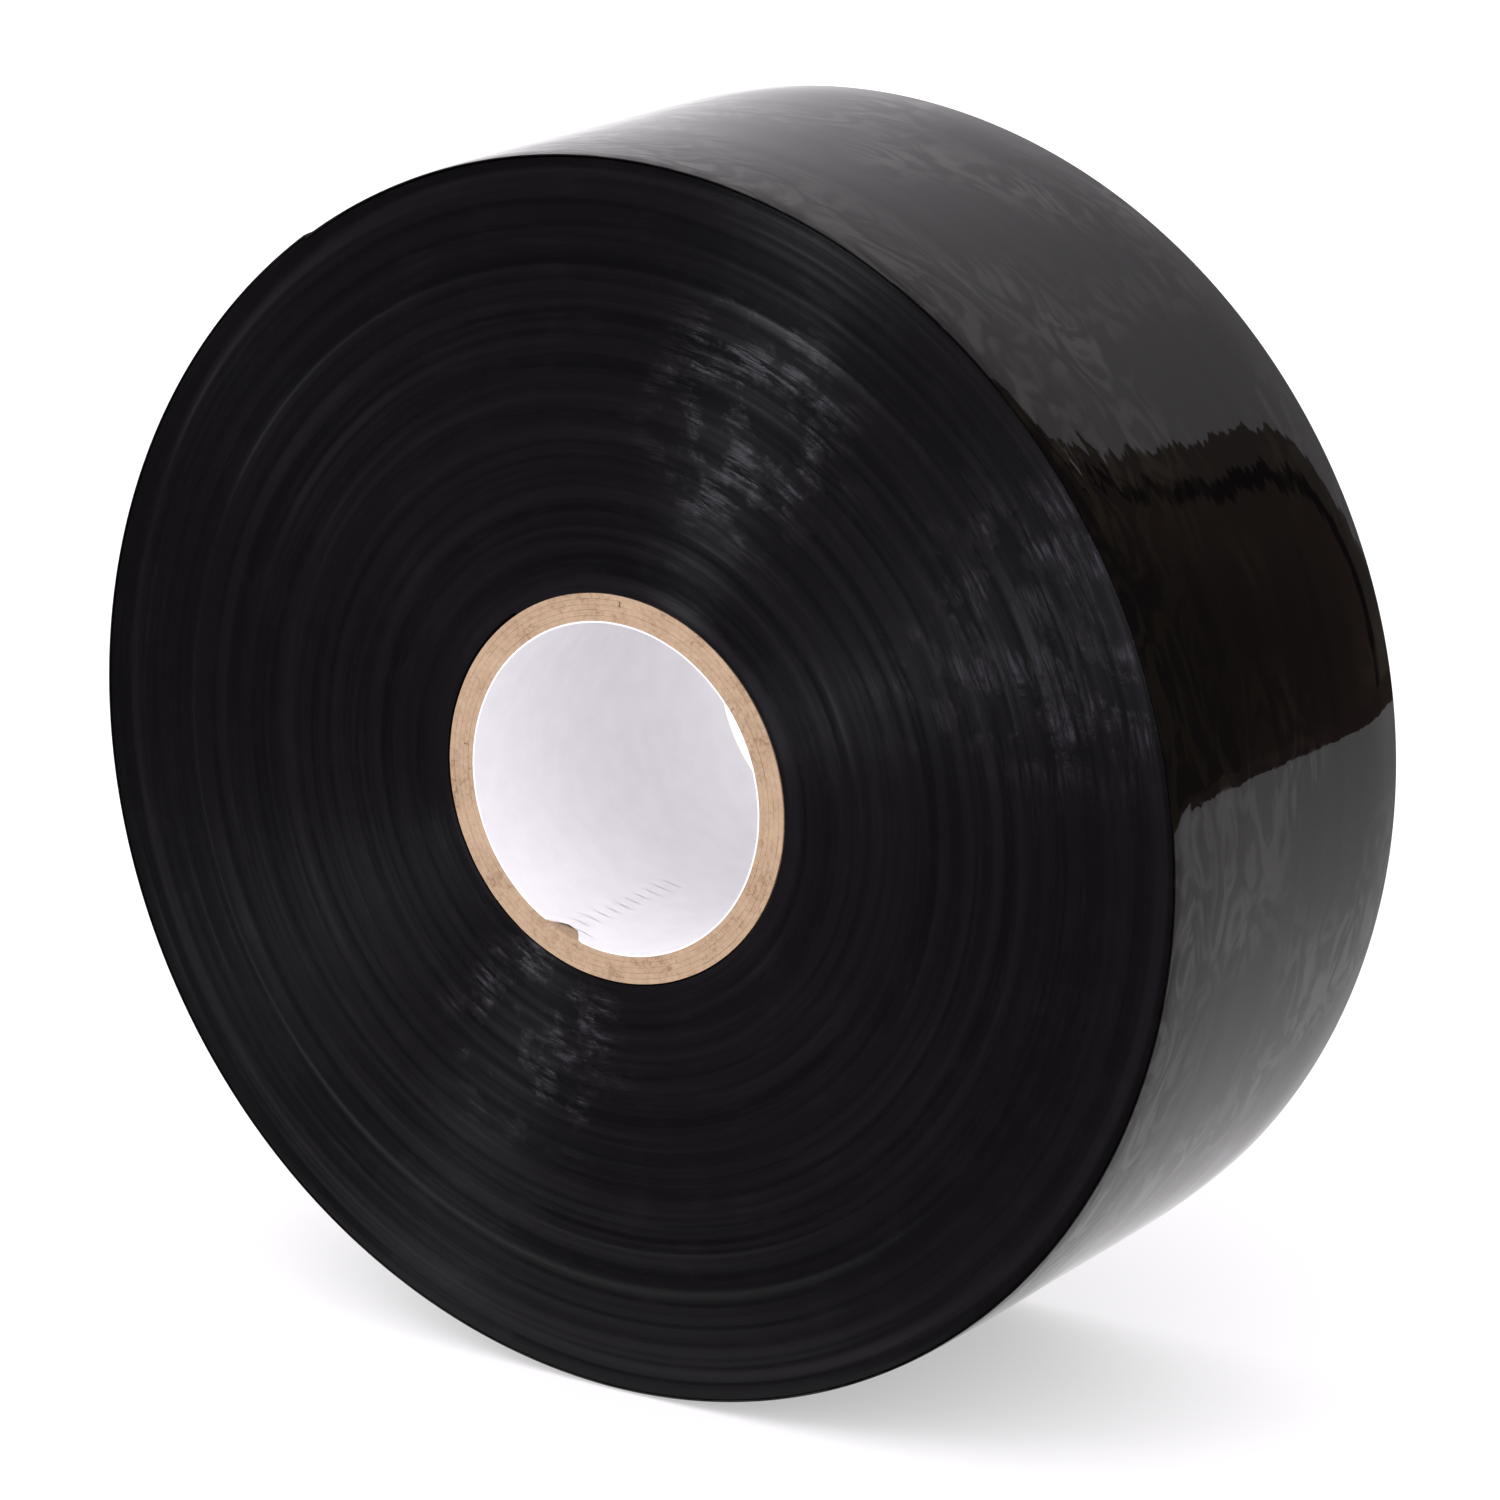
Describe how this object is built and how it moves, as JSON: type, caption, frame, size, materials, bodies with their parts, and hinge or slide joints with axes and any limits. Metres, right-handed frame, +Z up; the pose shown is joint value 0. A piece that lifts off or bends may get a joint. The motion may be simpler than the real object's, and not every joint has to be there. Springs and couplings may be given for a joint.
{
  "type": "electrical tape roll",
  "caption": "Roll of wide black PVC electrical tape wound on a kraft paper core, with an open core bore and a loose end that peels back.",
  "frame": {"origin": "on the roll's axis, at the middle of the tape's width", "axes": "+Z up, with the roll standing on its rim; +Y along the roll's axis, towards the back side; +X to the right, seen from the front"},
  "size_m": [0.1408, 0.05, 0.1407],
  "materials": {
    "pvc_film": "gloss",
    "wound_edges": "satin",
    "kraft_paper": "matte",
    "liner_paper": "matte"
  },
  "bodies": {
    "roll": {"core_liner": "liner_paper", "core_ply_1": "kraft_paper", "core_ply_2": "kraft_paper", "core_ply_3": "kraft_paper", "core_ply_4": "kraft_paper", "core_ply_5": "kraft_paper", "tape_pack": "wound_edges", "tape_outer_turn": "pvc_film"},
    "tape_end_root": {"tape_end_root": "pvc_film"},
    "tape_end_mid": {"tape_end_mid": "pvc_film"},
    "tape_end_tip": {"tape_end_tip": "pvc_film"}
  },
  "joints": [
    {"name": "peel_root", "type": "hinge", "parent": "roll", "child": "tape_end_root", "pos_m": [-0.06599, 0, 0.02484], "axis": [0, -1, 0], "range_deg": [0, 60]},
    {"name": "peel_mid", "type": "hinge", "parent": "tape_end_root", "child": "tape_end_mid", "pos_m": [-0.05989, 0, 0.03724], "axis": [0, -1, 0], "range_deg": [0, 60]},
    {"name": "peel_tip", "type": "hinge", "parent": "tape_end_mid", "child": "tape_end_tip", "pos_m": [-0.05148, 0, 0.04821], "axis": [0, -1, 0], "range_deg": [0, 60]}
  ]
}
